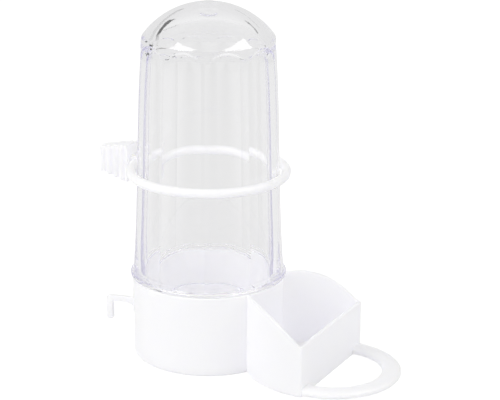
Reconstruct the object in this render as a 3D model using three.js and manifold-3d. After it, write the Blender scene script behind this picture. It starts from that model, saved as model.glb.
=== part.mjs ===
// Automatic bird drinker. A clear fluted reservoir stands neck down in a white cup, the cup feeds a
// half-round trough through a low passage, and a hooked back and a plugged ring hold it all on a cage.
// Millimetres, +Z up. The origin is on the cup's axis at its underside, trough to -Y, cage to +Y.

import * as THREE from 'three';
import { mergeVertices } from 'three/addons/utils/BufferGeometryUtils.js';
import Module from 'manifold-3d';

const wasm = await Module();
wasm.setup();

// Clearances and facets
const SEAT_GAP = 0.3; // left between pieces that rest on each other
const NECK_CLEARANCE = 0.5; // radial play of the reservoir's neck in the cup
const ROUND_SEGMENTS = 60;
const CUT_OVERRUN = 2; // how far a cutting body runs past what it cuts
const WELD_DISTANCE = 1e-4; // corners closer than this become one
const ON_WALL = 1e-3; // a corner this close to the tube's cone lies on it

// Cup
const CUP_RADIUS = 28.7;
const CUP_HEIGHT = 31.2;
const CUP_WALL = 1.6;
const FLOOR_THICKNESS = 1.6;

// Trough, a half ellipse in plan that is closed by a flat front wall
const TROUGH_REACH = 52.9; // from the cup's axis to the outside of the front wall
const TROUGH_HALF_WIDTH = 26.6;
const TROUGH_ROUND_DEPTH = 30.8; // the half ellipse's axis along Y
const TROUGH_STRAIGHT = 2.9; // straight end of each side wall
const TROUGH_WALL = 1.5;
const FRONT_WALL_HEIGHT = 20;
const LEVEL_RIM_REACH = 27; // where the rim starts to sweep down from the cup's height
const RIM_STEPS = 10;

// Passage at floor level from the cup to the trough
const PASSAGE_WIDTH = 16;
const PASSAGE_HEIGHT = 8;
const PASSAGE_STEPS = 12;

// Upright rib on the cup's back, which bears on the cage
const BACK_RIB_PROUD = 4.6; // how far the rib's face stands off the cup's wall
const BACK_RIB_WIDTH = 4;
const BACK_RIB_TOP_DROP = 2.5; // from the cup's rim down to the rib's top

// Perch, an oval bar bent to a half ring
const PERCH_BAR_WIDTH = 6.4;
const PERCH_BAR_HEIGHT = 3.4;
const PERCH_INSET = 0.5; // from the trough's side to the bar's outside
const PERCH_SECTION_STEPS = 14;

// Hook on the rib
const HOOK_ARM_LENGTH = 12.7;
const HOOK_ARM_TOP = 14;
const HOOK_ARM_HEIGHT = 2.3;
const HOOK_WIDTH = 2;
const HOOK_PRONG_THICKNESS = 2.7;
const HOOK_PRONG_LENGTH = 10; // down from the arm's top
const HOOK_ROUND = 1.2; // outer rounding of the prong's foot
const HOOK_GUSSET = 2.3; // quarter-round fillet under the arm
const HOOK_ROUND_STEPS = 5;

// Reservoir
const FLANGE_RADIUS = 29.8;
const FLANGE_THICKNESS = 1.5;
const RIDGE_RADIUS_AT_FOOT = 29.2;
const SHOULDER_RADIUS = 24.85;
const TUBE_HEIGHT = 91; // from the flange's top to the shoulder
const DOME_RISE = 12.7;
const RESERVOIR_WALL = 1.5; // in the middle of a flute, where the tube's wall is thinnest
const CROWN_THICKNESS = 5.5; // on the axis, where the dome is thickest
const CAVITY_END_RISE = 17; // the cavity's rounded end, from the straight wall to its top
const NECK_LIP_DROP = 7; // the neck's lip below the front wall's rim, which keeps the water from spilling
const GATE_DISC_RADIUS = 3.4;
const GATE_DISC_HEIGHT = 0.3;
const FLUTE_COUNT = 10;
const FLUTE_DEPTH = 0.9; // from the ridges' cone to the middle of a flute
const FLUTE_TOP_DROP = 1.7; // from the shoulder down to the tips of the arched flute tops
const FLUTE_ARCH_HEIGHT = 2.8; // from those tips down to where the ridges start
const FLUTE_STEPS = 6; // facets across one flute
const FLUTE_TURN_DEGREES = 7.7; // the reservoir's turn in the cup, ridge past -Y towards +X
const ARCH_STEPS = 4;
const DOME_STEPS = 6;
const CAVITY_END_STEPS = 8;

// Holder ring and the ribbed plug that is pressed between two cage bars
const RING_HEIGHT = 72.2; // the ring's mid-plane above the underside
const RING_BAR = 3.6;
const RING_BAR_STEPS = 12;
const NECK_BLOCK_WIDTH = 5;
const NECK_BLOCK_HEIGHT = 6;
const NECK_BLOCK_PROUD = 1.9; // how far the ring's neck block stands out of the bar
const PLUG_DROP = 1.2; // the plug's middle below the ring's mid-plane
const PLUG_PLATE_THICKNESS = 1.2;
const PLUG_RIBS = 4;
const PLUG_RIB_PITCH = 3.2;
const PLUG_RIB_OVERLAP = 0.1; // how far each rib reaches past its half of the pitch, so that neighbours merge
const PLUG_ROOT_WIDTH = 9.4;
const PLUG_TIP_WIDTH = 6;
const PLUG_ROOT_HEIGHT = 14.2;
const PLUG_TIP_HEIGHT = 10.5;
const PLUG_CORE_INSET = 0.9; // the core's flank below the crowns of the ribs
const PLUG_RIB_STEPS = 16;

// Sizes that follow from the ones above
const CUP_BORE = CUP_RADIUS - CUP_WALL;
const BACK_RIB_FACE = CUP_RADIUS + BACK_RIB_PROUD;
const HOOK_ARM_BOTTOM = HOOK_ARM_TOP - HOOK_ARM_HEIGHT;
const HOOK_GUSSET_FOOT = HOOK_ARM_BOTTOM - HOOK_GUSSET;
const FLANGE_BOTTOM = CUP_HEIGHT + SEAT_GAP;
const FLANGE_TOP = FLANGE_BOTTOM + FLANGE_THICKNESS;
const SHOULDER_HEIGHT = FLANGE_TOP + TUBE_HEIGHT;
const CAVITY_END_HEIGHT = SHOULDER_HEIGHT + DOME_RISE - CROWN_THICKNESS - CAVITY_END_RISE;
const NECK_RADIUS = CUP_BORE - NECK_CLEARANCE;
const NECK_BOTTOM = FRONT_WALL_HEIGHT - NECK_LIP_DROP;
const RING_RADIUS = ridgeRadius(RING_HEIGHT) + SEAT_GAP + RING_BAR / 2;
const NECK_BLOCK_FACE = RING_RADIUS + RING_BAR / 2 + NECK_BLOCK_PROUD;
const PERCH_RADIUS = TROUGH_HALF_WIDTH - PERCH_INSET - PERCH_BAR_WIDTH / 2;
const PLUG_HEIGHT = RING_HEIGHT - PLUG_DROP;
const PLUG_RIB_HALF_DEPTH = PLUG_RIB_PITCH / 2 + PLUG_RIB_OVERLAP;

// Radius of the reservoir's ridges, and of its plain band, at height z
function ridgeRadius(z) {
  const share = (z - FLANGE_TOP) / TUBE_HEIGHT;
  return THREE.MathUtils.lerp(RIDGE_RADIUS_AT_FOOT, SHOULDER_RADIUS, share);
}

// Closed geometry to a solid: only positions are kept and shared corners become one
function solid(geometry) {
  const plain = new THREE.BufferGeometry();
  plain.setAttribute('position', geometry.getAttribute('position').clone());
  plain.setIndex(geometry.getIndex());
  const merged = mergeVertices(plain, WELD_DISTANCE);
  const index = merged.getIndex().array;
  const triangles = [];
  for (let i = 0; i < index.length; i += 3) {
    const [a, b, c] = [index[i], index[i + 1], index[i + 2]];
    if (a !== b && b !== c && c !== a) triangles.push(a, b, c);
  }
  const vertProperties = new Float32Array(merged.getAttribute('position').array);
  const triVerts = new Uint32Array(triangles);
  return new wasm.Manifold(new wasm.Mesh({ numProp: 3, vertProperties, triVerts }));
}

// A solid as a named mesh with its own material
function piece(name, body, material) {
  const mesh = body.getMesh();
  const geometry = new THREE.BufferGeometry();
  geometry.setAttribute('position', new THREE.BufferAttribute(mesh.vertProperties, 3));
  geometry.setIndex(new THREE.BufferAttribute(mesh.triVerts, 1));
  geometry.computeVertexNormals();
  const result = new THREE.Mesh(geometry, material);
  result.name = name;
  return result;
}

// Box between two corners
function block(low, high) {
  const size = high.map((value, axis) => value - low[axis]);
  const geometry = new THREE.BoxGeometry(...size);
  geometry.translate(...low.map((value, axis) => value + size[axis] / 2));
  return solid(geometry);
}

// Upright cylinder on the Z axis
function drum(radius, low, high) {
  const geometry = new THREE.CylinderGeometry(radius, radius, high - low, ROUND_SEGMENTS);
  geometry.rotateX(Math.PI / 2);
  geometry.translate(0, 0, (low + high) / 2);
  return solid(geometry);
}

// Plan outline raised from low to high
function prism(shape, low, high, curveSegments) {
  const depth = high - low;
  const geometry = new THREE.ExtrudeGeometry(shape, { depth, bevelEnabled: false, curveSegments });
  geometry.translate(0, 0, low);
  return solid(geometry);
}

// Side outline, drawn in Y and Z, given a width along X
function slab(shape, width, curveSegments) {
  const geometry = new THREE.ExtrudeGeometry(shape, { depth: width, bevelEnabled: false, curveSegments });
  geometry.translate(0, 0, -width / 2);
  geometry.applyMatrix4(new THREE.Matrix4().set(0, 0, 1, 0, 1, 0, 0, 0, 0, 1, 0, 0, 0, 0, 0, 1));
  return solid(geometry);
}

// Profile of radius and height turned about the Z axis
function turned(points, segments) {
  const geometry = new THREE.LatheGeometry(points, segments);
  geometry.rotateX(Math.PI / 2);
  return geometry;
}

// Closed ring of bar with an oval section
function hoop(radius, height, barWidth, barHeight, sectionSteps) {
  const section = [];
  for (let i = 0; i <= sectionSteps; i += 1) {
    const angle = (2 * Math.PI * i) / sectionSteps;
    const x = radius + (barWidth / 2) * Math.cos(angle);
    const y = height + (barHeight / 2) * Math.sin(angle);
    section.push(new THREE.Vector2(x, y));
  }
  section[sectionSteps].copy(section[0]);
  return solid(turned(section, ROUND_SEGMENTS));
}

// Trough's plan, drawn in by a wall's thickness for the inside
function troughPlan(inset) {
  const halfWidth = TROUGH_HALF_WIDTH - inset;
  const front = -TROUGH_REACH + inset;
  const arcCentre = -TROUGH_REACH + TROUGH_STRAIGHT;
  const shape = new THREE.Shape();
  shape.moveTo(-halfWidth, front);
  shape.lineTo(halfWidth, front);
  shape.lineTo(halfWidth, arcCentre);
  shape.absellipse(0, arcCentre, halfWidth, TROUGH_ROUND_DEPTH - inset, 0, Math.PI, false);
  return shape;
}

// Everything above the trough's rim, which is level beside the cup and then sweeps down to the front wall
function aboveRim() {
  const frontInside = -TROUGH_REACH + TROUGH_WALL;
  const bend = (frontInside - LEVEL_RIM_REACH) / 2;
  const shape = new THREE.Shape();
  shape.moveTo(-TROUGH_REACH - CUT_OVERRUN, CUP_HEIGHT + CUT_OVERRUN);
  shape.lineTo(-TROUGH_REACH - CUT_OVERRUN, FRONT_WALL_HEIGHT);
  shape.lineTo(frontInside, FRONT_WALL_HEIGHT);
  shape.quadraticCurveTo(bend, CUP_HEIGHT, -LEVEL_RIM_REACH, CUP_HEIGHT);
  shape.lineTo(-LEVEL_RIM_REACH, CUP_HEIGHT + CUT_OVERRUN);
  return slab(shape, 2 * (TROUGH_HALF_WIDTH + CUT_OVERRUN), RIM_STEPS);
}

// Arched hole through the wall that the cup and the trough share
function passage() {
  const halfWidth = PASSAGE_WIDTH / 2;
  const shape = new THREE.Shape();
  shape.moveTo(-halfWidth, FLOOR_THICKNESS);
  shape.lineTo(halfWidth, FLOOR_THICKNESS);
  shape.absellipse(0, FLOOR_THICKNESS, halfWidth, PASSAGE_HEIGHT, 0, Math.PI, false);
  const length = CUP_WALL + 2 * CUT_OVERRUN;
  const geometry = new THREE.ExtrudeGeometry(shape, {
    depth: length,
    bevelEnabled: false,
    curveSegments: PASSAGE_STEPS,
  });
  geometry.rotateX(Math.PI / 2);
  geometry.translate(0, -CUP_BORE + CUT_OVERRUN, 0);
  return solid(geometry);
}

// Cup, trough and back rib: one white moulding
function baseCup() {
  const trough = prism(troughPlan(0), 0, CUP_HEIGHT, RIM_STEPS * 2)
    .subtract(prism(troughPlan(TROUGH_WALL), FLOOR_THICKNESS, CUP_HEIGHT + CUT_OVERRUN, RIM_STEPS * 2))
    .subtract(aboveRim())
    .subtract(drum(CUP_RADIUS - CUP_WALL / 2, -CUT_OVERRUN, CUP_HEIGHT + CUT_OVERRUN));
  const ribLow = [-BACK_RIB_WIDTH / 2, 0, HOOK_GUSSET_FOOT];
  const ribHigh = [BACK_RIB_WIDTH / 2, BACK_RIB_FACE, CUP_HEIGHT - BACK_RIB_TOP_DROP];
  return drum(CUP_RADIUS, 0, CUP_HEIGHT)
    .add(block(ribLow, ribHigh))
    .subtract(drum(CUP_BORE, FLOOR_THICKNESS, CUP_HEIGHT + CUT_OVERRUN))
    .add(trough)
    .subtract(passage());
}

// Half ring whose two ends stand square on the front wall
function perch() {
  const middle = PERCH_BAR_HEIGHT / 2;
  const ring = hoop(PERCH_RADIUS, middle, PERCH_BAR_WIDTH, PERCH_BAR_HEIGHT, PERCH_SECTION_STEPS);
  const reach = TROUGH_HALF_WIDTH + CUT_OVERRUN;
  const low = [-reach, 0, -CUT_OVERRUN];
  const high = [reach, reach, PERCH_BAR_HEIGHT + CUT_OVERRUN];
  return ring.subtract(block(low, high)).translate([0, -TROUGH_REACH, 0]);
}

// Arm that leaves the back rib, with a prong that drops behind a cage bar
function rearHook() {
  const tip = BACK_RIB_FACE + HOOK_ARM_LENGTH;
  const prongInside = tip - HOOK_PRONG_THICKNESS;
  const foot = HOOK_ARM_TOP - HOOK_PRONG_LENGTH;
  const shape = new THREE.Shape();
  shape.moveTo(BACK_RIB_FACE, HOOK_ARM_TOP);
  shape.lineTo(BACK_RIB_FACE, HOOK_GUSSET_FOOT);
  shape.absarc(BACK_RIB_FACE + HOOK_GUSSET, HOOK_GUSSET_FOOT, HOOK_GUSSET, Math.PI, Math.PI / 2, true);
  shape.lineTo(prongInside, HOOK_ARM_BOTTOM);
  shape.lineTo(prongInside, foot);
  shape.lineTo(tip - HOOK_ROUND, foot);
  shape.absarc(tip - HOOK_ROUND, foot + HOOK_ROUND, HOOK_ROUND, -Math.PI / 2, 0, false);
  shape.lineTo(tip, HOOK_ARM_TOP - HOOK_ROUND);
  shape.absarc(tip - HOOK_ROUND, HOOK_ARM_TOP - HOOK_ROUND, HOOK_ROUND, 0, Math.PI / 2, false);
  return slab(shape, HOOK_WIDTH, HOOK_ROUND_STEPS);
}

// Heights at which the fluted wall has a ring of corners, from the flange's top to the tips of the flutes
function tubeHeights() {
  const archTip = SHOULDER_HEIGHT - FLUTE_TOP_DROP;
  const archFoot = archTip - FLUTE_ARCH_HEIGHT;
  const heights = [FLANGE_TOP];
  for (let i = 0; i <= ARCH_STEPS; i += 1) {
    heights.push(THREE.MathUtils.lerp(archFoot, archTip, i / ARCH_STEPS));
  }
  return heights;
}

// Points of the dome, from the shoulder to the gate disc
function domePoints() {
  const radius = (SHOULDER_RADIUS * SHOULDER_RADIUS + DOME_RISE * DOME_RISE) / (2 * DOME_RISE);
  const centre = SHOULDER_HEIGHT + DOME_RISE - radius;
  const startAngle = Math.asin(SHOULDER_RADIUS / radius);
  const endAngle = Math.asin(GATE_DISC_RADIUS / radius);
  const points = [];
  for (let i = 0; i <= DOME_STEPS; i += 1) {
    const angle = THREE.MathUtils.lerp(startAngle, endAngle, i / DOME_STEPS);
    points.push(new THREE.Vector2(radius * Math.sin(angle), centre + radius * Math.cos(angle)));
  }
  return points;
}

// Radius of the reservoir's inside at height z
function cavityRadius(z) {
  return ridgeRadius(z) - FLUTE_DEPTH - RESERVOIR_WALL;
}

// Points of the cavity's rounded end, a quarter ellipse from the axis to the straight wall
function cavityEnd() {
  const radius = cavityRadius(CAVITY_END_HEIGHT);
  const points = [];
  for (let i = 0; i <= CAVITY_END_STEPS; i += 1) {
    const angle = (Math.PI * i) / (2 * CAVITY_END_STEPS);
    const rise = CAVITY_END_RISE * Math.cos(angle);
    points.push(new THREE.Vector2(radius * Math.sin(angle), CAVITY_END_HEIGHT + rise));
  }
  return points;
}

// Outline of the reservoir's wall before the flutes are pressed in, from the inner apex to the outer one
function reservoirOutline() {
  const discTop = SHOULDER_HEIGHT + DOME_RISE + GATE_DISC_HEIGHT;
  return [
    ...cavityEnd(),
    new THREE.Vector2(cavityRadius(FLANGE_TOP), FLANGE_TOP),
    new THREE.Vector2(NECK_RADIUS - RESERVOIR_WALL, FLANGE_BOTTOM),
    new THREE.Vector2(NECK_RADIUS - RESERVOIR_WALL, NECK_BOTTOM),
    new THREE.Vector2(NECK_RADIUS, NECK_BOTTOM),
    new THREE.Vector2(NECK_RADIUS, FLANGE_BOTTOM),
    new THREE.Vector2(FLANGE_RADIUS, FLANGE_BOTTOM),
    new THREE.Vector2(FLANGE_RADIUS, FLANGE_TOP),
    ...tubeHeights().map((z) => new THREE.Vector2(ridgeRadius(z), z)),
    ...domePoints(),
    new THREE.Vector2(GATE_DISC_RADIUS, discTop),
    new THREE.Vector2(0, discTop),
  ];
}

// How deep a flute is at height z, at a share of its half width from 0 in the middle to 1 on a ridge
function fluteDepth(z, share) {
  const archTip = SHOULDER_HEIGHT - FLUTE_TOP_DROP;
  const cut = FLUTE_DEPTH * THREE.MathUtils.clamp((archTip - z) / FLUTE_ARCH_HEIGHT, 0, 1);
  return Math.max(0, cut - FLUTE_DEPTH * share * share);
}

// Fluted tube with a dome on top, a flange that sits on the cup's rim and a neck that dips into the cup
function reservoir() {
  const geometry = turned(reservoirOutline(), FLUTE_COUNT * FLUTE_STEPS);
  const position = geometry.getAttribute('position');
  const pitch = (2 * Math.PI) / FLUTE_COUNT;
  for (let i = 0; i < position.count; i += 1) {
    const [x, y, z] = [position.getX(i), position.getY(i), position.getZ(i)];
    const radius = Math.hypot(x, y);
    const fromRidge = THREE.MathUtils.euclideanModulo(Math.atan2(x, -y), pitch) / pitch;
    const onTube = Math.abs(radius - ridgeRadius(z)) < ON_WALL;
    const depth = onTube ? fluteDepth(z, Math.abs(2 * fromRidge - 1)) : 0;
    const scale = depth > 0 ? (radius - depth) / radius : 1;
    position.setXY(i, x * scale, y * scale);
  }
  return solid(geometry).rotate([0, 0, FLUTE_TURN_DEGREES]);
}

// Ring that slips over the reservoir, with a flat block for the plug
function holderRing() {
  const half = NECK_BLOCK_HEIGHT / 2;
  const low = [-NECK_BLOCK_WIDTH / 2, RING_RADIUS, RING_HEIGHT - half];
  const high = [NECK_BLOCK_WIDTH / 2, NECK_BLOCK_FACE, RING_HEIGHT + half];
  return hoop(RING_RADIUS, RING_HEIGHT, RING_BAR, RING_BAR, RING_BAR_STEPS).add(block(low, high));
}

// Tapered plug: a root plate and a row of upright ribs that grow smaller towards the tip
function cagePlug() {
  const plateBack = NECK_BLOCK_FACE + PLUG_PLATE_THICKNESS;
  const plateLow = [-PLUG_ROOT_WIDTH / 2, NECK_BLOCK_FACE, PLUG_HEIGHT - PLUG_ROOT_HEIGHT / 2];
  const plateHigh = [PLUG_ROOT_WIDTH / 2, plateBack, PLUG_HEIGHT + PLUG_ROOT_HEIGHT / 2];
  let body = block(plateLow, plateHigh);
  for (let i = 0; i < PLUG_RIBS; i += 1) {
    const share = i / (PLUG_RIBS - 1);
    const halfWidth = THREE.MathUtils.lerp(PLUG_ROOT_WIDTH, PLUG_TIP_WIDTH, share) / 2;
    const halfHeight = THREE.MathUtils.lerp(PLUG_ROOT_HEIGHT, PLUG_TIP_HEIGHT, share) / 2;
    const centre = plateBack + PLUG_RIB_PITCH * (i + 0.5);
    const shape = new THREE.Shape();
    shape.absellipse(0, centre, halfWidth, PLUG_RIB_HALF_DEPTH, 0, 2 * Math.PI, false);
    const rib = prism(shape, PLUG_HEIGHT - halfHeight, PLUG_HEIGHT + halfHeight, PLUG_RIB_STEPS);
    const coreHalf = halfWidth - PLUG_CORE_INSET;
    const coreStart = i === 0 ? NECK_BLOCK_FACE : centre - PLUG_RIB_PITCH;
    const coreLow = [-coreHalf, coreStart, PLUG_HEIGHT - halfHeight];
    const coreHigh = [coreHalf, centre, PLUG_HEIGHT + halfHeight];
    body = body.add(rib).add(block(coreLow, coreHigh));
  }
  return body;
}

const whitePolypropylene = new THREE.MeshStandardMaterial({ color: 0xf2f2f7, roughness: 0.4, metalness: 0 });
const clearPolystyrene = new THREE.MeshStandardMaterial({
  color: 0xe6e8f2,
  roughness: 0.05,
  metalness: 0,
  transparent: true,
  opacity: 0.35,
});

const drinker = new THREE.Group();
drinker.add(piece('base_cup', baseCup(), whitePolypropylene));
drinker.add(piece('perch', perch(), whitePolypropylene.clone()));
drinker.add(piece('rear_hook', rearHook(), whitePolypropylene.clone()));
drinker.add(piece('reservoir', reservoir(), clearPolystyrene));
drinker.add(piece('holder_ring', holderRing(), whitePolypropylene.clone()));
drinker.add(piece('cage_plug', cagePlug(), whitePolypropylene.clone()));

export default drinker;
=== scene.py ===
import math

import bmesh
import bpy
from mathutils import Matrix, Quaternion, Vector


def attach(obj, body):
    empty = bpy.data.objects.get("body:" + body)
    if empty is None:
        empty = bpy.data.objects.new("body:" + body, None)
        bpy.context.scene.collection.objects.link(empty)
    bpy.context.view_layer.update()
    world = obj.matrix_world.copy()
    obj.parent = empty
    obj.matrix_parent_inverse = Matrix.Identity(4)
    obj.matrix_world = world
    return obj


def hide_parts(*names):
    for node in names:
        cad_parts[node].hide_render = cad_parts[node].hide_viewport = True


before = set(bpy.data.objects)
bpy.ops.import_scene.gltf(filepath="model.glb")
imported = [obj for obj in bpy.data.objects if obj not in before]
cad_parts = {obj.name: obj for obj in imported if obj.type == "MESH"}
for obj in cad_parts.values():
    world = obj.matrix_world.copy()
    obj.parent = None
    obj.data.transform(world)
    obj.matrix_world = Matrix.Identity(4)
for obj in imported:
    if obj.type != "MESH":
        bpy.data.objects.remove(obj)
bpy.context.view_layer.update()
scene = bpy.context.scene

MM = 0.001

# Sizes are in millimetres and angles in radians, with the trough to -Y, the cage to +Y and the underside on
# z 0. They are the solids' own, apart from roundings, the tube's profile and flutes, the perch bar's width,
# the slope of the hook's arm and the height of the neck block, which are drawn closer to the photograph.

# Cup, trough and the passage between them
CUP_RADIUS = 28.7
CUP_BORE = 27.1
CUP_HEIGHT = 31.2
FLOOR_THICKNESS = 1.6
TROUGH_FRONT = -52.9
TROUGH_HALF_WIDTH = 26.6
TROUGH_ROUND_DEPTH = 30.8
TROUGH_STRAIGHT = 2.9
TROUGH_WALL = 1.5
TROUGH_CORNER_OUTSIDE = 0.7
TROUGH_CORNER_INSIDE = 0.35
FRONT_WALL_HEIGHT = 20.0
LEVEL_RIM_FRONT = -27.0
PASSAGE_HALF_WIDTH = 8.0
PASSAGE_HEIGHT = 8.0
PASSAGE_SILL = 0.05

# Perch, back rib and hook
PERCH_RADIUS = 22.5
PERCH_BAR_WIDTH = 7.2
PERCH_BAR_HEIGHT = 3.4
PERCH_BAR_FULLNESS = 0.88
PERCH_LIFT = 0.05
PERCH_ROOT_LENGTH = 4.0
PERCH_ROOT_SWELL = 0.1
BACK_RIB_HALF_WIDTH = 2.0
BACK_RIB_FACE = 33.3
BACK_RIB_FOOT = 9.4
BACK_RIB_TOP = 28.7
BACK_RIB_CORNER = 0.6
HOOK_HALF_WIDTH = 1.0
HOOK_ARM_TOP = 14.0
HOOK_ARM_BOTTOM = 11.7
HOOK_ROOT_RISE = 1.1
HOOK_FILLET_LENGTH = 4.0
HOOK_FILLET_FOOT = BACK_RIB_FOOT + 0.5
HOOK_TIP = 46.0
HOOK_PRONG_INSIDE = 43.3
HOOK_PRONG_FOOT = 4.0
HOOK_OUTER_CORNER = 1.2
HOOK_INNER_CORNER = 0.6
HOOK_PRONG_CORNER = 0.7

# Tank: neck, flange, tube, dome and the cavity inside them
NECK_RADIUS = 26.6
NECK_BORE = 25.1
NECK_BOTTOM = 13.0
FLANGE_RADIUS = 29.8
FLANGE_BOTTOM = 31.5
FLANGE_TOP = 33.0
RIDGE_RADIUS_AT_FOOT = 29.4
TUBE_FOOT = FLANGE_TOP + 0.5
TUBE_TOP_RADIUS = 25.35
TUBE_FLARE = 3.4
TURN_IN_HEIGHT = 118.0
TURN_IN_POWER = 1.5
SHOULDER_RADIUS = 24.85
SHOULDER_HEIGHT = 124.0
SHOULDER_LAST_POINTS = (SHOULDER_HEIGHT - 0.5, SHOULDER_HEIGHT - 0.2)
DOME_RADIUS = 30.663
DOME_TOP = 136.7
DOME_CENTRE = DOME_TOP - DOME_RADIUS
SHOULDER_SOFTENING = 0.012
DOME_START = math.asin(SHOULDER_RADIUS / DOME_RADIUS) - SHOULDER_SOFTENING
GATE_DISC_RADIUS = 3.4
GATE_DISC_TOP = 137.0
GATE_DISC_FOOT_RADIUS = GATE_DISC_RADIUS + 1.0
FLUTE_COUNT = 10
FLUTE_DEPTH = 0.65
FLUTE_ARCH_TIP = 123.2
FLUTE_ARCH_FOOT = 118.8
FLUTE_ARCH_SLOPE = 0.7
FLUTE_TURN = math.radians(7.7)
WALL_UNDER_RIDGE = 3.0
CAVITY_END_HEIGHT = 114.2
CAVITY_END_RADIUS = 22.919
CAVITY_END_RISE = 17.0
CAVITY_WALL_HEIGHTS = (108.0, 102.0, 96.0, 90.0, 84.0, 76.0, 68.0, 60.0, 52.0, 45.0)
# The bore widens a little from the neck up to the tube: by how much, and at what height
BORE_WIDENING = ((0.4, 38.5), (0.2, 33.5), (0.0, FLANGE_BOTTOM - 1.5))
# Soft edge of the gate disc: past its radius, and below its top
GATE_DISC_EDGE = ((0.2, 0.38), (-0.5, 0.15), (-1.2, 0.04), (-2.2, 0.0))

# Holder: ring, neck block and plug
RING_HEIGHT = 72.2
RING_RADIUS = 29.426
RING_BAR_RADIUS = 1.8
NECK_BLOCK_HALF_WIDTH = 2.5
NECK_BLOCK_HALF_HEIGHT = 1.7
NECK_BLOCK_FACE = 33.126
PLUG_HEIGHT = 71.0
PLUG_PLATE_BACK = 34.326
PLUG_RIBS = 4
PLUG_RIB_PITCH = 3.2
PLUG_RIB_HALF_DEPTH = 1.7
PLUG_RIB_END_ROUND = 0.7
PLUG_ROOT_WIDTH = 9.4
PLUG_TIP_WIDTH = 6.0
PLUG_ROOT_HEIGHT = 14.2
PLUG_TIP_HEIGHT = 10.5
PLUG_CORE_INSET = 0.9
PLUG_CORE_DROP = 0.3
PLUG_PLATE_STEP = 0.01

# Roundings that the moulds leave on edges
RIM_ROUND = 0.45
FOOT_ROUND = 0.9
INSIDE_ROUND = 1.2
SMALL_ROUND = 0.4

# How far a part runs into the wall that carries it, and a cutter past the wall that it cuts
TUB_SUNK = 0.7
PERCH_SUNK = 1.0
BACK_SUNK = 0.8
NECK_BLOCK_SUNK = 0.6
BORE_OVERRUN = 5.0
PASSAGE_OVERRUN = 2.0

# How finely forms are drawn, how close two points are one, and the angles past which an edge stays sharp
AROUND_CUP = 144
AROUND_RING = 144
AROUND_TANK = 24 * FLUTE_COUNT
AROUND_PERCH_BAR = 32
AROUND_RING_BAR = 24
AROUND_RIB = 40
ALONG_PERCH = 60
ROUND_STEPS = 4
EDGE_STEPS = 3
CORNER_STEPS = 6
FILLET_STEPS = 8
ARCH_STEPS = 14
DOME_STEPS = 24
PASSAGE_STEPS = 24
BOW_STEPS = 72
TUBE_STEP = 3.0
SAME_POINT = 0.001
MOULDING_CREASE = math.radians(32)
RIDGE_CREASE = math.radians(12)

# Patterns in the plastics
CLOUD_SIZE = 14.0
ORANGE_PEEL_SIZE = 0.8
ORANGE_PEEL_DEPTH = 0.05
FLOW_LINE_WIDTH = 4.0
FLOW_LINE_LENGTH = 70.0
FLOW_LINE_DEPTH = 0.08

# Studio, in metres and degrees
CAMERA_AIM = Vector((0.0, 0.0, 0.0604))
CAMERA_AZIMUTH = -61.29
CAMERA_ELEVATION = 17.88
CAMERA_DISTANCE = 0.68384
CAMERA_TURN = 1.318
CAMERA_LENS_MM = 129.6
CAMERA_SENSOR_MM = 36.0
LAMP_DISTANCE = 1.0
PAPER_SIZE = 12.0
PAPER_GAP = 0.0002
# Half width of the painted shadow band that glass shows on the paper
PAINTED_SHADOW_HALF_WIDTH = 0.08


def linear(code):
    """sRGB hex code to the linear colour that sockets take."""
    shares = [int(code[i : i + 2], 16) / 255 for i in (0, 2, 4)]
    return [c / 12.92 if c <= 0.04045 else ((c + 0.055) / 1.055) ** 2.4 for c in shares] + [1.0]


WHITE = linear("ffffff")


def emptied(owner):
    """Node tree of a new material or world, with nothing in it yet."""
    owner.use_nodes = True
    owner.node_tree.nodes.clear()
    return owner.node_tree


def add(tree, kind, links=None, **settings):
    """A node with its settings; links maps each input to a socket to join or a value to hold."""
    node = tree.nodes.new(kind)
    for name, value in settings.items():
        setattr(node, name, value)
    for name, value in (links or {}).items():
        if isinstance(value, bpy.types.NodeSocket):
            tree.links.new(value, node.inputs[name])
        else:
            node.inputs[name].default_value = value
    return node


def white_polypropylene():
    """Polypropylene, injection moulded: a cool white with a satin skin that lets some light in, the faint
    cloudiness of the melt's flow and the fine orange peel of the mould's steel."""
    material = bpy.data.materials.new("moulded_white_polypropylene")
    tree = emptied(material)
    place = add(tree, "ShaderNodeTexCoord").outputs["Object"]
    cloud = add(tree, "ShaderNodeTexNoise", {
        "Vector": place, "Scale": 1 / (CLOUD_SIZE * MM), "Detail": 2.0}).outputs["Fac"]
    tint = add(tree, "ShaderNodeMix", {
        "Factor": cloud, "A": linear("fcfbff"), "B": linear("fdfdff")}, data_type="RGBA")
    satin = add(tree, "ShaderNodeMapRange", {"Value": cloud, "To Min": 0.34, "To Max": 0.46})
    # Real orange peel is about 0.3 mm across; it is drawn coarser so that it shows
    peel = add(tree, "ShaderNodeTexNoise", {
        "Vector": place, "Scale": 1 / (ORANGE_PEEL_SIZE * MM), "Detail": 1.0})
    relief = add(tree, "ShaderNodeBump", {
        "Height": peel.outputs["Fac"], "Strength": 0.06, "Distance": ORANGE_PEEL_DEPTH * MM})
    plastic = add(tree, "ShaderNodeBsdfPrincipled", {
        "Base Color": tint.outputs["Result"],
        "Roughness": satin.outputs["Result"],
        "Normal": relief.outputs["Normal"],
        "IOR": 1.49,
        "Subsurface Weight": 0.8,
        "Subsurface Radius": (1.0, 1.0, 1.1),
        "Subsurface Scale": 3.0 * MM,
    })
    add(tree, "ShaderNodeOutputMaterial", {"Surface": plastic.outputs["BSDF"]})
    return material


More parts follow.
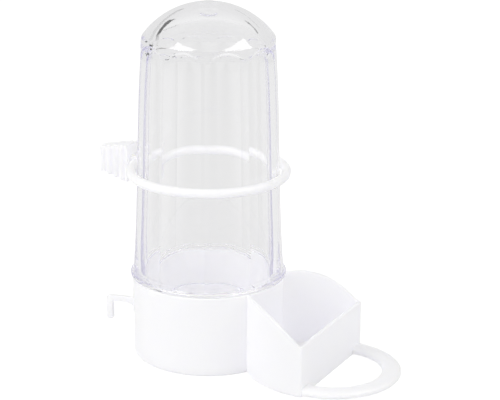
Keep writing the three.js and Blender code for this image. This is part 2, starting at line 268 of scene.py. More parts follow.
def clear_polystyrene():
    """Clear polystyrene, injection moulded and polished: water-clear and brilliant, violet where the eye
    looks along the wall, with the flow lines that the melt draws down from the gate."""
    material = bpy.data.materials.new("polished_clear_polystyrene")
    tree = emptied(material)
    place = add(tree, "ShaderNodeTexCoord").outputs["Object"]
    across, down = 1 / (FLOW_LINE_WIDTH * MM), 1 / (FLOW_LINE_LENGTH * MM)
    along = add(tree, "ShaderNodeMapping", {"Vector": place, "Scale": (across, across, down)})
    lines = add(tree, "ShaderNodeTexNoise", {
        "Vector": along.outputs["Vector"], "Scale": 1.0, "Detail": 2.0}).outputs["Fac"]
    polish = add(tree, "ShaderNodeMapRange", {"Value": lines, "To Min": 0.01, "To Max": 0.05})
    relief = add(tree, "ShaderNodeBump", {
        "Height": lines, "Strength": 0.25, "Distance": FLOW_LINE_DEPTH * MM})
    plastic = add(tree, "ShaderNodeBsdfPrincipled", {
        "Base Color": WHITE,
        "Roughness": polish.outputs["Result"],
        "Normal": relief.outputs["Normal"],
        "IOR": 1.59,
        "Transmission Weight": 1.0,
    })
    # Lamps, and light that white walls throw back, reach what is behind the clear wall
    unseen = add(tree, "ShaderNodeBsdfTransparent", {"Color": WHITE}).outputs["BSDF"]
    path = add(tree, "ShaderNodeLightPath").outputs
    surface = plastic.outputs["BSDF"]
    for ray in ("Is Shadow Ray", "Is Diffuse Ray"):
        mix = add(tree, "ShaderNodeMixShader", {"Fac": path[ray], 1: surface, 2: unseen})
        surface = mix.outputs["Shader"]
    violet = add(tree, "ShaderNodeVolumeAbsorption", {"Color": linear("aa9ce7"), "Density": 1.6})
    add(tree, "ShaderNodeOutputMaterial", {"Surface": surface, "Volume": violet.outputs["Volume"]})
    return material


def arc(centre, radius, start, end, steps=ROUND_STEPS):
    """Points on an arc in the plane of a profile, from one angle in degrees to another."""
    turns = [math.radians(start + (end - start) * i / steps) for i in range(steps + 1)]
    return [(centre[0] + radius * math.cos(t), centre[1] + radius * math.sin(t)) for t in turns]


def turned(profile, around, first=0.0):
    """One loop of points for each radius and height of a profile, counted from -Y towards +X."""
    turns = [first + 2 * math.pi * i / around for i in range(around)]
    return [[(r * math.sin(t), -r * math.cos(t), z) for t in turns] for r, z in profile]


def piece_of(name, bm):
    """Finished mesh as an object in the scene, its faces outwards."""
    bmesh.ops.recalc_face_normals(bm, faces=bm.faces)
    mesh = bpy.data.meshes.new(name)
    bm.to_mesh(mesh)
    bm.free()
    piece = bpy.data.objects.new(name, mesh)
    scene.collection.objects.link(piece)
    return piece


def skin(name, loops, ring=False):
    """Closed skin through loops of points in millimetres; its ends are capped, or meet in a ring."""
    bm = bmesh.new()
    rows = [[bm.verts.new(Vector(point) * MM) for point in loop] for loop in loops]
    for low, high in zip(rows, rows[1:] + rows[:1] if ring else rows[1:]):
        for quad in zip(low, low[1:] + low[:1], high[1:] + high[:1], high):
            bm.faces.new(quad)
    if not ring:
        bm.faces.new(rows[0])
        bm.faces.new(rows[-1])
    return piece_of(name, bm)


def slab(name, outline, thickness, edge):
    """Flat outline of points in millimetres, given a thickness vector, with rounded edges on both faces."""
    bm = bmesh.new()
    face = bm.faces.new([bm.verts.new(Vector(point) * MM) for point in outline])
    raised = bmesh.ops.extrude_face_region(bm, geom=[face])
    far = [part for part in raised["geom"] if isinstance(part, bmesh.types.BMVert)]
    bmesh.ops.translate(bm, verts=far, vec=Vector(thickness) * MM)
    # The two end faces have all of the outline's corners and lie square to the thickness
    way = Vector(thickness).normalized()
    ends = [f for f in bm.faces if len(f.verts) == len(outline) and abs(f.normal.dot(way)) > 0.9]
    rims = [e for e in bm.edges if any(f in ends for f in e.link_faces)]
    bmesh.ops.bevel(bm, geom=rims, offset=edge * MM, segments=EDGE_STEPS, profile=0.5, affect="EDGES")
    return piece_of(name, bm)


def settled(piece):
    """Turns a piece's modifiers into a plain mesh."""
    depsgraph = bpy.context.evaluated_depsgraph_get()
    mesh = bpy.data.meshes.new_from_object(piece.evaluated_get(depsgraph), depsgraph=depsgraph)
    piece.modifiers.clear()
    piece.data = mesh
    return piece


def worked(piece, tool, operation, crossing=False):
    """Joins a tool to a piece or cuts it away, and removes the tool, whose own parts may be crossing."""
    step = piece.modifiers.new("work", "BOOLEAN")
    step.object = tool
    step.operation = operation
    step.solver = "EXACT"
    step.use_self = crossing
    settled(piece)
    bpy.data.objects.remove(tool)
    return piece


def finished(piece, material, crease):
    """Closes doubles, keeps creases sharp, lets flat faces shade flat, and gives the piece its material."""
    bm = bmesh.new()
    bm.from_mesh(piece.data)
    bmesh.ops.remove_doubles(bm, verts=bm.verts, dist=SAME_POINT * MM)
    bm.to_mesh(piece.data)
    bm.free()
    piece.data.materials.clear()
    piece.data.materials.append(material)
    for face in piece.data.polygons:
        face.material_index = 0
    piece.data.shade_smooth()
    piece.data.set_sharp_from_angle(angle=crease)
    level = piece.modifiers.new("flat faces stay flat", "WEIGHTED_NORMAL")
    level.keep_sharp = True
    return settled(piece)


def sized_tree(name, inputs):
    """New node tree with geometry in and out, and inputs for its sizes and its material."""
    tree = bpy.data.node_groups.new(name, "GeometryNodeTree")
    for label, kind in {"Geometry": "Geometry", **inputs, "Material": "Material"}.items():
        tree.interface.new_socket(label, in_out="INPUT", socket_type="NodeSocket" + kind)
    tree.interface.new_socket("Geometry", in_out="OUTPUT", socket_type="NodeSocketGeometry")
    return tree


def end_tree(tree, geometry, material):
    """Last nodes of a tree: real geometry, with its material, to the output."""
    real = add(tree, "GeometryNodeRealizeInstances", {"Geometry": geometry}).outputs["Geometry"]
    dressed = add(tree, "GeometryNodeSetMaterial", {"Geometry": real, "Material": material})
    add(tree, "NodeGroupOutput", {"Geometry": dressed.outputs["Geometry"]})


def set_sizes(piece, tree, sizes):
    """Runs a node tree on a piece with its named sizes, and settles the result."""
    step = piece.modifiers.new(tree.name, "NODES")
    step.node_group = tree
    for item in tree.interface.items_tree:
        if item.name in sizes:
            step[item.identifier] = sizes[item.name]
    return settled(piece)


def cup_shell():
    """Round cup with a soft foot, a rounded rim and a filleted floor."""
    profile = arc((CUP_RADIUS - FOOT_ROUND, FOOT_ROUND), FOOT_ROUND, -90, 0)
    profile += arc((CUP_RADIUS - RIM_ROUND, CUP_HEIGHT - RIM_ROUND), RIM_ROUND, 0, 90)
    profile += arc((CUP_BORE + RIM_ROUND, CUP_HEIGHT - RIM_ROUND), RIM_ROUND, 90, 180)
    profile += arc((CUP_BORE - INSIDE_ROUND, FLOOR_THICKNESS + INSIDE_ROUND), INSIDE_ROUND, 0, -90)
    return skin("base_moulding", turned(profile, AROUND_CUP))


def rim_height(y):
    """Height of the trough's rim, level beside the cup and swept down to the front wall."""
    front = TROUGH_FRONT + TROUGH_WALL
    share = min(max((y - front) / (LEVEL_RIM_FRONT - front), 0.0), 1.0)
    return CUP_HEIGHT - (CUP_HEIGHT - FRONT_WALL_HEIGHT) * (1 - share) ** 2


def trough_plan(inset):
    """Half ellipse that a flat front wall closes, drawn in by an inset."""
    half = TROUGH_HALF_WIDTH - inset
    front = TROUGH_FRONT + inset
    back = TROUGH_FRONT + TROUGH_STRAIGHT
    corner = max(TROUGH_CORNER_OUTSIDE - inset, TROUGH_CORNER_INSIDE)
    right = arc((half - corner, front + corner), corner, -90, 0, CORNER_STEPS)
    turns = [math.pi * i / BOW_STEPS for i in range(BOW_STEPS + 1)]
    bow = [(half * math.cos(t), back + (TROUGH_ROUND_DEPTH - inset) * math.sin(t)) for t in turns]
    left = arc((-half + corner, front + corner), corner, 180, 270, CORNER_STEPS)
    return right + bow + left


def trough_tub():
    """Tub with a rounded rim, open inside, that still runs on into the cup's space."""
    quarter = [math.pi / 2 * i / ROUND_STEPS for i in range(ROUND_STEPS + 1)]
    foot = [(FOOT_ROUND * (1 - math.sin(t)), FOOT_ROUND * (1 - math.cos(t))) for t in quarter]
    rim_out = [(RIM_ROUND * (1 - math.cos(t)), RIM_ROUND * (1 - math.sin(t))) for t in quarter]
    rim_in = [(TROUGH_WALL - RIM_ROUND * (1 - math.sin(t)), RIM_ROUND * (1 - math.cos(t))) for t in quarter]
    above = FLOOR_THICKNESS + INSIDE_ROUND
    floor = [(INSIDE_ROUND * (1 - math.cos(t)), above - INSIDE_ROUND * math.sin(t)) for t in quarter]
    loops = [[(x, y, z) for x, y in trough_plan(inset)] for inset, z in foot]
    for inset, drop in rim_out + rim_in:
        loops.append([(x, y, rim_height(y) - drop) for x, y in trough_plan(inset)])
    loops += [[(x, y, z) for x, y in trough_plan(TROUGH_WALL + inset)] for inset, z in floor]
    return skin("tub", loops)


def perch_bar():
    """Oval bar, squarer than an ellipse, bent to a half ring whose roots swell into the front wall."""
    turns = [2 * math.pi * i / AROUND_PERCH_BAR for i in range(AROUND_PERCH_BAR)]
    oval = [
        [math.copysign(abs(share) ** PERCH_BAR_FULLNESS, share) for share in (math.cos(t), math.sin(t))]
        for t in turns
    ]
    half_turn = math.pi * PERCH_RADIUS
    # Stations along the bar, closer together where a root swells
    root = [-PERCH_SUNK, 0.0, 0.4, 0.9, 1.5, 2.2, 3.0, PERCH_ROOT_LENGTH]
    between = half_turn - 2 * PERCH_ROOT_LENGTH
    middle = [PERCH_ROOT_LENGTH + between * i / ALONG_PERCH for i in range(1, ALONG_PERCH)]
    loops = []
    for run in root + middle + [half_turn - s for s in reversed(root)]:
        on_ring = min(max(run, 0.0), half_turn)
        turn = math.pi + on_ring / PERCH_RADIUS
        out = Vector((math.cos(turn), math.sin(turn), 0.0))
        centre = Vector((0.0, TROUGH_FRONT + abs(run - on_ring), 0.0)) + PERCH_RADIUS * out
        to_root = min(on_ring, half_turn - on_ring)
        swell = PERCH_ROOT_SWELL * max(1 - to_root / PERCH_ROOT_LENGTH, 0.0) ** 2
        half_width = PERCH_BAR_WIDTH / 2 + swell
        half_height = (PERCH_BAR_HEIGHT - PERCH_LIFT) / 2 + swell
        middle_height = PERCH_LIFT + half_height
        loops.append([
            centre + across * half_width * out + Vector((0.0, 0.0, middle_height + up * half_height))
            for across, up in oval
        ])
    return skin("perch_bar", loops)


def back_rib():
    """Upright rib on the cup's back, its outer corners rounded."""
    half, root = BACK_RIB_HALF_WIDTH, CUP_RADIUS - BACK_SUNK
    side, back = half - BACK_RIB_CORNER, BACK_RIB_FACE - BACK_RIB_CORNER
    outline = [(half, root)] + arc((side, back), BACK_RIB_CORNER, 0, 90)
    outline += arc((-side, back), BACK_RIB_CORNER, 90, 180) + [(-half, root)]
    points = [(x, y, BACK_RIB_FOOT) for x, y in outline]
    return slab("back_rib", points, (0, 0, BACK_RIB_TOP - BACK_RIB_FOOT), SMALL_ROUND)


def hook_fillet():
    """Quarter ellipse from the back rib's face to the arm's underside, which slopes up to its root."""
    arm_length = HOOK_PRONG_INSIDE - BACK_RIB_FACE
    under = HOOK_ARM_BOTTOM + HOOK_ROOT_RISE * (1 - HOOK_FILLET_LENGTH / arm_length)
    rise = under - HOOK_FILLET_FOOT
    turns = [math.radians(180 - 90 * i / FILLET_STEPS) for i in range(FILLET_STEPS + 1)]
    return [
        (BACK_RIB_FACE + HOOK_FILLET_LENGTH * (1 + math.cos(t)), HOOK_FILLET_FOOT + rise * math.sin(t))
        for t in turns
    ]


def rear_hook():
    """Arm that rises a little to its root over a long fillet, and a prong that drops behind a cage bar."""
    root = BACK_RIB_FACE - BACK_SUNK
    inner, outer, prong = HOOK_INNER_CORNER, HOOK_OUTER_CORNER, HOOK_PRONG_CORNER
    outline = [(root, HOOK_ARM_TOP + HOOK_ROOT_RISE), (root, HOOK_FILLET_FOOT)] + hook_fillet()
    outline += arc((HOOK_PRONG_INSIDE - inner, HOOK_ARM_BOTTOM - inner), inner, 90, 0)
    outline += arc((HOOK_PRONG_INSIDE + prong, HOOK_PRONG_FOOT + prong), prong, 180, 270)
    outline += arc((HOOK_TIP - outer, HOOK_PRONG_FOOT + outer), outer, -90, 0)
    outline += arc((HOOK_TIP - outer, HOOK_ARM_TOP - outer), outer, 0, 90)
    points = [(-HOOK_HALF_WIDTH, y, z) for y, z in outline]
    return slab("hook_arm", points, (2 * HOOK_HALF_WIDTH, 0, 0), SMALL_ROUND)


def passage_core():
    """Arched core that opens the wall between cup and trough at floor level."""
    sill = FLOOR_THICKNESS + PASSAGE_SILL
    rise = PASSAGE_HEIGHT - PASSAGE_SILL
    turns = [math.pi * i / PASSAGE_STEPS for i in range(PASSAGE_STEPS + 1)]
    outline = [(PASSAGE_HALF_WIDTH * math.cos(t), sill + rise * math.sin(t)) for t in turns]
    depths = (-CUP_BORE + PASSAGE_OVERRUN, -CUP_RADIUS - PASSAGE_OVERRUN)
    return skin("passage_core", [[(x, y, z) for x, z in outline] for y in depths])


def base_moulding(material):
    """Cup, trough, perch, back rib and hook in one white moulding."""
    tub = trough_tub()
    edge = CUP_RADIUS - TUB_SUNK
    bore = skin("bore", turned([(edge, -BORE_OVERRUN), (edge, CUP_HEIGHT + BORE_OVERRUN)], AROUND_CUP))
    worked(tub, bore, "DIFFERENCE")
    base = cup_shell()
    for part in (tub, back_rib(), rear_hook(), perch_bar()):
        worked(base, part, "UNION")
    worked(base, passage_core(), "DIFFERENCE")
    return finished(base, material, MOULDING_CREASE)


def press_flutes():
    """Node tree that presses flutes into a turned wall, arched at the top, with ridges between them."""
    names = ("Flute Pitch", "Flute Depth", "Arch Foot", "Arch Tip", "Arch Slope", "Turn")
    tree = sized_tree("press_flutes", dict.fromkeys(names, "Float"))
    sizes = add(tree, "NodeGroupInput").outputs
    place = add(tree, "GeometryNodeInputPosition").outputs["Position"]
    axes = add(tree, "ShaderNodeSeparateXYZ", {"Vector": place}).outputs
    wall = add(tree, "GeometryNodeInputNamedAttribute", {"Name": "fluted"}, data_type="FLOAT")
    # Angle from the nearest ridge, and from it the share of the flute's half width, 1 on the ridge
    forward = add(tree, "ShaderNodeMath", {0: axes["Y"], 1: -1.0}, operation="MULTIPLY").outputs[0]
    azimuth = add(tree, "ShaderNodeMath", {0: axes["X"], 1: forward}, operation="ARCTAN2").outputs[0]
    past = add(tree, "ShaderNodeMath", {0: azimuth, 1: sizes["Turn"]}, operation="SUBTRACT").outputs[0]
    half = add(tree, "ShaderNodeMath", {0: sizes["Flute Pitch"], 1: 0.5}, operation="MULTIPLY").outputs[0]
    ridge_gap = add(tree, "ShaderNodeMath", {0: past, 1: half}, operation="PINGPONG").outputs[0]
    share = add(tree, "ShaderNodeMapRange", {
        "Value": ridge_gap, "From Max": half, "To Min": 1.0, "To Max": 0.0}).outputs["Result"]
    # Full depth of the flute, which bows up to its ridges
    bow = add(tree, "ShaderNodeMath", {0: share, 1: 2.0}, operation="POWER").outputs[0]
    crown = add(tree, "ShaderNodeMath", {0: bow, 1: sizes["Flute Depth"]}, operation="MULTIPLY").outputs[0]
    full = add(tree, "ShaderNodeMath", {0: sizes["Flute Depth"], 1: crown}, operation="SUBTRACT").outputs[0]
    # Depth that the arch leaves, none above it and growing downwards by its slope
    arch = add(tree, "ShaderNodeMapRange", {
        "Value": bow, "To Min": sizes["Arch Tip"], "To Max": sizes["Arch Foot"]}).outputs["Result"]
    below = add(tree, "ShaderNodeMath", {0: arch, 1: axes["Z"]}, operation="SUBTRACT").outputs[0]
    ease = add(tree, "ShaderNodeMath", {0: below, 1: sizes["Arch Slope"]}, operation="MULTIPLY").outputs[0]
    shallower = add(tree, "ShaderNodeMath", {0: full, 1: ease}, operation="MINIMUM").outputs[0]
    depth = add(tree, "ShaderNodeMath", {0: shallower, 1: 0.0}, operation="MAXIMUM").outputs[0]
    # Only the wall that is marked for it moves, towards the axis
    inward = add(tree, "ShaderNodeMath", {
        0: depth, 1: wall.outputs["Attribute"]}, operation="MULTIPLY").outputs[0]
    flat = add(tree, "ShaderNodeVectorMath", {0: place, 1: (-1.0, -1.0, 0.0)}, operation="MULTIPLY")
    axisward = add(tree, "ShaderNodeVectorMath", {0: flat.outputs[0]}, operation="NORMALIZE")
    press = add(tree, "ShaderNodeVectorMath", {0: axisward.outputs[0], "Scale": inward}, operation="SCALE")
    pressed = add(tree, "GeometryNodeSetPosition", {
        "Geometry": sizes["Geometry"], "Offset": press.outputs[0]})
    end_tree(tree, pressed.outputs["Geometry"], sizes["Material"])
    return tree


def ridge_radius(z):
    """Radius of the tank's ridges, and of its plain band, at a height."""
    share = (z - FLANGE_TOP) / (SHOULDER_HEIGHT - FLANGE_TOP)
    cone = RIDGE_RADIUS_AT_FOOT + (TUBE_TOP_RADIUS - RIDGE_RADIUS_AT_FOOT) * share
    turn_in = max(z - TURN_IN_HEIGHT, 0.0) / (SHOULDER_HEIGHT - TURN_IN_HEIGHT)
    bow = TUBE_FLARE * share * (1 - share) * (2 * share - 1)
    return cone + bow - (TUBE_TOP_RADIUS - SHOULDER_RADIUS) * turn_in ** TURN_IN_POWER


def cavity():
    """Profile of the inside, from the middle of its round end down the wall to the neck's bore."""
    turns = [math.pi / 2 * i / DOME_STEPS for i in range(1, DOME_STEPS + 1)]
    profile = [
        (CAVITY_END_RADIUS * math.sin(t), CAVITY_END_HEIGHT + CAVITY_END_RISE * math.cos(t)) for t in turns
    ]
    profile += [(ridge_radius(z) - WALL_UNDER_RIDGE, z) for z in CAVITY_WALL_HEIGHTS]
    return profile + [(NECK_BORE + wider, z) for wider, z in BORE_WIDENING]


def neck_and_flange():
    """Profile from the bore round the neck's lip and up its outside to the beaded flange."""
    lip = SMALL_ROUND
    bead = (FLANGE_TOP - FLANGE_BOTTOM) / 2
    profile = arc((NECK_BORE + lip, NECK_BOTTOM + lip), lip, 180, 270)
    profile += arc((NECK_RADIUS - lip, NECK_BOTTOM + lip), lip, -90, 0)
    profile += [(NECK_RADIUS, FLANGE_BOTTOM - lip), (NECK_RADIUS + lip, FLANGE_BOTTOM)]
    return profile + arc((FLANGE_RADIUS - bead, FLANGE_BOTTOM + bead), bead, -90, 90, 2 * ROUND_STEPS)


def tube_wall():
    """Profile of the tube's outside, with a point at each height that its flutes and shoulder need."""
    plain = int((FLUTE_ARCH_FOOT - TUBE_FOOT) / TUBE_STEP) + 1
    arch = FLUTE_ARCH_TIP - FLUTE_ARCH_FOOT
    heights = [TUBE_FOOT + TUBE_STEP * i for i in range(plain)]
    heights += [FLUTE_ARCH_FOOT + arch * i / ARCH_STEPS for i in range(ARCH_STEPS + 1)]
    return [(ridge_radius(z), z) for z in [*heights, *SHOULDER_LAST_POINTS]]


def dome():
    """Profile of the dome from the shoulder up, and of the disc that the gate leaves on it."""
    end = math.asin(GATE_DISC_FOOT_RADIUS / DOME_RADIUS)
    turns = [DOME_START + (end - DOME_START) * i / DOME_STEPS for i in range(DOME_STEPS + 1)]
    profile = [(DOME_RADIUS * math.sin(t), DOME_CENTRE + DOME_RADIUS * math.cos(t)) for t in turns]
    return profile + [(GATE_DISC_RADIUS + past, GATE_DISC_TOP - drop) for past, drop in GATE_DISC_EDGE]


def tank(material):
    """Clear tank: one turned wall, closed at the dome and open at the neck, with a fluted tube."""
    before, wall, after = cavity() + neck_and_flange(), tube_wall(), dome()
    shell = skin("reservoir_tank", turned(before + wall + after, AROUND_TANK, FLUTE_TURN))
    marks = [0.0] * len(before) + [1.0] * len(wall) + [0.0] * len(after)
    fluted = shell.data.attributes.new("fluted", "FLOAT", "POINT")
    fluted.data.foreach_set("value", [mark for mark in marks for _ in range(AROUND_TANK)])
    set_sizes(shell, press_flutes(), {
        "Flute Pitch": 2 * math.pi / FLUTE_COUNT,
        "Flute Depth": FLUTE_DEPTH * MM,
        "Arch Foot": FLUTE_ARCH_FOOT * MM,
        "Arch Tip": FLUTE_ARCH_TIP * MM,
        "Arch Slope": FLUTE_ARCH_SLOPE,
        "Turn": FLUTE_TURN,
        "Material": material,
    })
    return finished(shell, material, RIDGE_CREASE)


def plug_ribs():
    """Node tree that sets a row of ribs along the plug, each smaller than the one before it."""
    names = ("Rib Pitch", "First Rib", "Middle Height", "Tip Width Share", "Tip Height Share")
    tree = sized_tree("plug_ribs", {"Rib": "Object", "Rib Count": "Int", **dict.fromkeys(names, "Float")})
    sizes = add(tree, "NodeGroupInput").outputs
    start = add(tree, "ShaderNodeCombineXYZ", {"Y": sizes["First Rib"], "Z": sizes["Middle Height"]})
    pitch = add(tree, "ShaderNodeCombineXYZ", {"Y": sizes["Rib Pitch"]})
    row = add(tree, "GeometryNodeMeshLine", {
        "Count": sizes["Rib Count"],
        "Start Location": start.outputs["Vector"],
        "Offset": pitch.outputs["Vector"],
    }, mode="OFFSET")
    order = add(tree, "GeometryNodeInputIndex").outputs["Index"]
    last = add(tree, "ShaderNodeMath", {0: sizes["Rib Count"], 1: 1.0}, operation="SUBTRACT").outputs[0]
    narrow, lower = [
        add(tree, "ShaderNodeMapRange", {
            "Value": order, "From Max": last, "To Min": 1.0, "To Max": sizes[tip]}).outputs["Result"]
        for tip in ("Tip Width Share", "Tip Height Share")
    ]
    size = add(tree, "ShaderNodeCombineXYZ", {"X": narrow, "Y": 1.0, "Z": lower}).outputs["Vector"]
    rib = add(tree, "GeometryNodeObjectInfo", {"Object": sizes["Rib"]}).outputs["Geometry"]
    ribs = add(tree, "GeometryNodeInstanceOnPoints", {
        "Points": row.outputs["Mesh"], "Instance": rib, "Scale": size}).outputs["Instances"]
    whole = add(tree, "GeometryNodeJoinGeometry", {"Geometry": ribs})
    tree.links.new(sizes["Geometry"], whole.inputs["Geometry"])
    end_tree(tree, whole.outputs["Geometry"], sizes["Material"])
    return tree


def rib_crown():
    """One rib of the plug at its root size, about the origin: an upright oval with soft ends."""
    half_width, half_height, edge = PLUG_ROOT_WIDTH / 2, PLUG_ROOT_HEIGHT / 2, PLUG_RIB_END_ROUND
    ends = arc((-edge, -half_height + edge), edge, -90, 0) + arc((-edge, half_height - edge), edge, 0, 90)
    turns = [2 * math.pi * i / AROUND_RIB for i in range(AROUND_RIB)]
    return skin("rib_crown", [
        [((half_width + inset) * math.cos(t), (PLUG_RIB_HALF_DEPTH + inset) * math.sin(t), z) for t in turns]
        for inset, z in ends
    ])


def neck_block():
    """Block between the ring and the plug, which runs into both."""
    half, near, far = NECK_BLOCK_HALF_WIDTH, RING_RADIUS, NECK_BLOCK_FACE + NECK_BLOCK_SUNK
    foot = RING_HEIGHT - NECK_BLOCK_HALF_HEIGHT
    corners = [(half, near, foot), (half, far, foot), (-half, far, foot), (-half, near, foot)]
    return slab("neck_block", corners, (0, 0, 2 * NECK_BLOCK_HALF_HEIGHT), SMALL_ROUND)


def plug_core():
    """Plate on the neck block, and the tapered core behind it that carries the ribs."""
    width, height = PLUG_ROOT_WIDTH / 2, PLUG_ROOT_HEIGHT / 2
    tip_width, tip_height = PLUG_TIP_WIDTH / 2, PLUG_TIP_HEIGHT / 2
    stations = (
        (NECK_BLOCK_FACE, width, height),
        (PLUG_PLATE_BACK, width, height),
        (PLUG_PLATE_BACK + PLUG_PLATE_STEP, width - PLUG_CORE_INSET, height - PLUG_CORE_DROP),
        (PLUG_PLATE_BACK + PLUG_RIB_PITCH * (PLUG_RIBS - 0.5),
         tip_width - PLUG_CORE_INSET, tip_height - PLUG_CORE_DROP),
    )
    corners = ((1, -1), (1, 1), (-1, 1), (-1, -1))
    return skin("plug", [[(a * w, y, PLUG_HEIGHT + b * h) for a, b in corners] for y, w, h in stations])


def cage_holder(material):
    """Ring that slips over the tank, with a neck block and the ribbed plug that two cage bars pinch."""
    bar = arc((RING_RADIUS, RING_HEIGHT), RING_BAR_RADIUS, 0, 360, AROUND_RING_BAR)[:-1]
    ring = skin("cage_holder", turned(bar, AROUND_RING), ring=True)
    neck = neck_block()
    plug = plug_core()
    rib = rib_crown()
    set_sizes(plug, plug_ribs(), {
        "Rib": rib,
        "Rib Count": PLUG_RIBS,
        "Rib Pitch": PLUG_RIB_PITCH * MM,
        "First Rib": (PLUG_PLATE_BACK + PLUG_RIB_PITCH / 2) * MM,
        "Middle Height": PLUG_HEIGHT * MM,
        "Tip Width Share": PLUG_TIP_WIDTH / PLUG_ROOT_WIDTH,
        "Tip Height Share": PLUG_TIP_HEIGHT / PLUG_ROOT_HEIGHT,
        "Material": material,
    })
    bpy.data.objects.remove(rib)
    worked(ring, neck, "UNION")
    worked(ring, plug, "UNION", crossing=True)
    return finished(ring, material, MOULDING_CREASE)


def bearing(azimuth, elevation):
    """Direction from the object, with azimuth 0 towards -Y, in degrees."""
    a, e = math.radians(azimuth), math.radians(elevation)
    return Vector((math.sin(a) * math.cos(e), -math.cos(a) * math.cos(e), math.sin(e)))


def placed(thing, azimuth, elevation, distance):
    """Stands a camera, lamp or card at a distance from the object, so that it faces it."""
    back = bearing(azimuth, elevation)
    thing.location = CAMERA_AIM + distance * back
    thing.rotation_mode = "QUATERNION"
    thing.rotation_quaternion = (-back).to_track_quat("-Z", "Y")


def photograph_camera():
    """Long lens from the trough's left, turned a little so that the object stands left of the middle."""
    lens = bpy.data.cameras.new("camera")
    lens.lens = CAMERA_LENS_MM
    lens.sensor_width = CAMERA_SENSOR_MM
    camera = bpy.data.objects.new("camera", lens)
    placed(camera, CAMERA_AZIMUTH, CAMERA_ELEVATION, CAMERA_DISTANCE)
    aside = Quaternion((0.0, 1.0, 0.0), -math.radians(CAMERA_TURN))
    camera.rotation_quaternion = camera.rotation_quaternion @ aside
    scene.collection.objects.link(camera)
    scene.camera = camera


def softbox(name, side, elevation, size, watts):
    """Studio lamp that faces the object, some degrees to the camera's right. The clear wall doesn't show it,
    because it would draw white dashes on the ledges inside."""
    lamp = bpy.data.lights.new(name, "AREA")
    lamp.shape = "RECTANGLE"
    lamp.size, lamp.size_y = size
    lamp.energy = watts
    box = bpy.data.objects.new(name, lamp)
    placed(box, CAMERA_AZIMUTH + side, elevation, LAMP_DISTANCE)
    box.visible_transmission = False
    scene.collection.objects.link(box)


def flat_sheet(name, size, material):
    """Sheet about the origin, of a width and a length in metres."""
    bm = bmesh.new()
    bmesh.ops.create_grid(bm, x_segments=1, y_segments=1, size=0.5)
    bmesh.ops.scale(bm, verts=bm.verts, vec=(*size, 1.0))
    flat = piece_of(name, bm)
    flat.data.materials.append(material)
    return flat


def card(name, side, elevation, size, shade, gloss_only=False):
    """Dark or bright card some degrees to the camera's right, which lights nothing: it only shows in gloss
    and, where it isn't for gloss alone, through the clear wall, as a painted dark reflection or highlight."""
    paint = bpy.data.materials.new(name + "_paint")
    tree = emptied(paint)
    tone = add(tree, "ShaderNodeEmission", {"Color": WHITE, "Strength": shade})
    add(tree, "ShaderNodeOutputMaterial", {"Surface": tone.outputs["Emission"]})
    sheet = flat_sheet(name, size, paint)
    placed(sheet, CAMERA_AZIMUTH + side, elevation, LAMP_DISTANCE)
    sheet.visible_diffuse = False
    sheet.visible_shadow = False
    sheet.visible_camera = False
    sheet.visible_transmission = not gloss_only


def backdrop(tree, plain, pale, white):
    """Shader that is plain for light that falls on things, pale in glass and gloss, white to the camera."""
    path = add(tree, "ShaderNodeLightPath").outputs
    shown = add(tree, "ShaderNodeMath", {
        0: path["Is Glossy Ray"], 1: path["Is Transmission Ray"]}, operation="MAXIMUM").outputs[0]
    inside = add(tree, "ShaderNodeMixShader", {"Fac": shown, 1: plain, 2: pale})
    whole = add(tree, "ShaderNodeMixShader", {
        "Fac": path["Is Camera Ray"], 1: inside.outputs["Shader"], 2: white})
    return whole.outputs["Shader"]


def surroundings():
    """White room. Its soft light is a little weaker from above, so that top faces keep their tone, and what
    glass and gloss show of it is paler above, because an even tone hides flutes and dome."""
    world = bpy.data.worlds.new("studio")
    tree = emptied(world)
    way = add(tree, "ShaderNodeTexCoord").outputs["Generated"]
    up = add(tree, "ShaderNodeSeparateXYZ", {"Vector": way}).outputs["Z"]
    soft = add(tree, "ShaderNodeMapRange", {"Value": up, "To Min": 0.80, "To Max": 0.69})
    glow = add(tree, "ShaderNodeMapRange", {
        "Value": up, "From Min": 0.3, "From Max": 0.75, "To Min": 0.785, "To Max": 0.93})
    plain, pale, white = [
        add(tree, "ShaderNodeBackground", {"Color": WHITE, "Strength": strength}).outputs["Background"]
        for strength in (soft.outputs["Result"], glow.outputs["Result"], 1.0)
    ]
    add(tree, "ShaderNodeOutputWorld", {"Surface": backdrop(tree, plain, pale, white)})
    scene.world = world


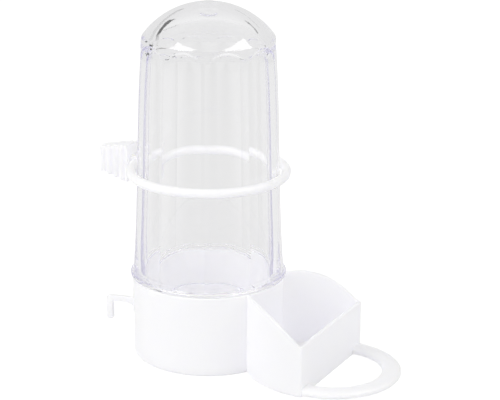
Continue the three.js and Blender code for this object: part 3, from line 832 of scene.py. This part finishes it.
def paper_floor():
    """White paper under the object, which glows for glass and for the camera and keeps a faint shadow there.
    Glass shows a painted shadow on it: a soft darker band through the object, because an even tone hides
    flutes."""
    paper = bpy.data.materials.new("white_paper")
    tree = emptied(paper)
    plain = add(tree, "ShaderNodeBsdfDiffuse", {"Color": linear("f4f4f6")}).outputs["BSDF"]
    faint = add(tree, "ShaderNodeBsdfDiffuse", {"Color": linear("959595")}).outputs["BSDF"]
    place = add(tree, "ShaderNodeTexCoord").outputs["Object"]
    across = add(tree, "ShaderNodeVectorMath", {
        0: place, 1: bearing(CAMERA_AZIMUTH + 90, 0)}, operation="DOT_PRODUCT").outputs["Value"]
    aside = add(tree, "ShaderNodeMath", {0: across}, operation="ABSOLUTE").outputs[0]
    # Painted shadow: what glass shows of the paper is darker in a soft band along the camera's line through
    # the object
    band = add(tree, "ShaderNodeMapRange", {
        "Value": aside, "From Max": PAINTED_SHADOW_HALF_WIDTH, "To Min": 0.53, "To Max": 0.585},
        interpolation_type="SMOOTHSTEP")
    glows = [
        add(tree, "ShaderNodeEmission", {"Color": WHITE, "Strength": strength}).outputs["Emission"]
        for strength in (band.outputs["Result"], 0.84)
    ]
    pale, white = [add(tree, "ShaderNodeAddShader", {0: faint, 1: glow}).outputs[0] for glow in glows]
    add(tree, "ShaderNodeOutputMaterial", {"Surface": backdrop(tree, plain, pale, white)})
    floor = flat_sheet("paper_floor", (PAPER_SIZE, PAPER_SIZE), paper)
    floor.location.z = -PAPER_GAP


def studio():
    """Room, paper, two lamps, and cards: dark ones behind paint thin dark reflections, bright ones paint
    highlights.
    """
    surroundings()
    paper_floor()
    softbox("left_box", side=-56, elevation=34, size=(0.66, 0.66), watts=2.95)
    softbox("right_box", side=62, elevation=34, size=(0.62, 0.62), watts=1.4)
    # Painted dark reflections: near-black cards, seen only in gloss and through the clear wall, draw the
    # dome's thin dark lines
    card("left_card", side=-147, elevation=27.2, size=(0.64, 0.095), shade=0.005)
    card("right_card", side=154, elevation=28.5, size=(0.34, 0.03), shade=0.2)
    # Painted highlights: bright glowing cards, no lamps, seen only in gloss, that light nothing
    card("left_reflector", side=-55, elevation=48, size=(0.56, 0.36), shade=4.2, gloss_only=True)
    card("right_reflector", side=64, elevation=47, size=(0.74, 0.40), shade=4.2, gloss_only=True)


photograph_camera()
studio()
# Light runs a long way along a clear wall before it leaves it, and back and forth between white walls
scene.cycles.max_bounces = 200
scene.cycles.glossy_bounces = 200
scene.cycles.transmission_bounces = 200
scene.cycles.transparent_max_bounces = 64
scene.cycles.diffuse_bounces = 16
white = white_polypropylene()
clear = clear_polystyrene()

base = base_moulding(white)
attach(base, "base")
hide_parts("base_cup", "perch", "rear_hook")

reservoir = tank(clear)
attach(reservoir, "reservoir")
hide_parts("reservoir")

holder = cage_holder(white)
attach(holder, "holder")
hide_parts("holder_ring", "cage_plug")

bpy.context.scene.view_settings.view_transform = "Standard"
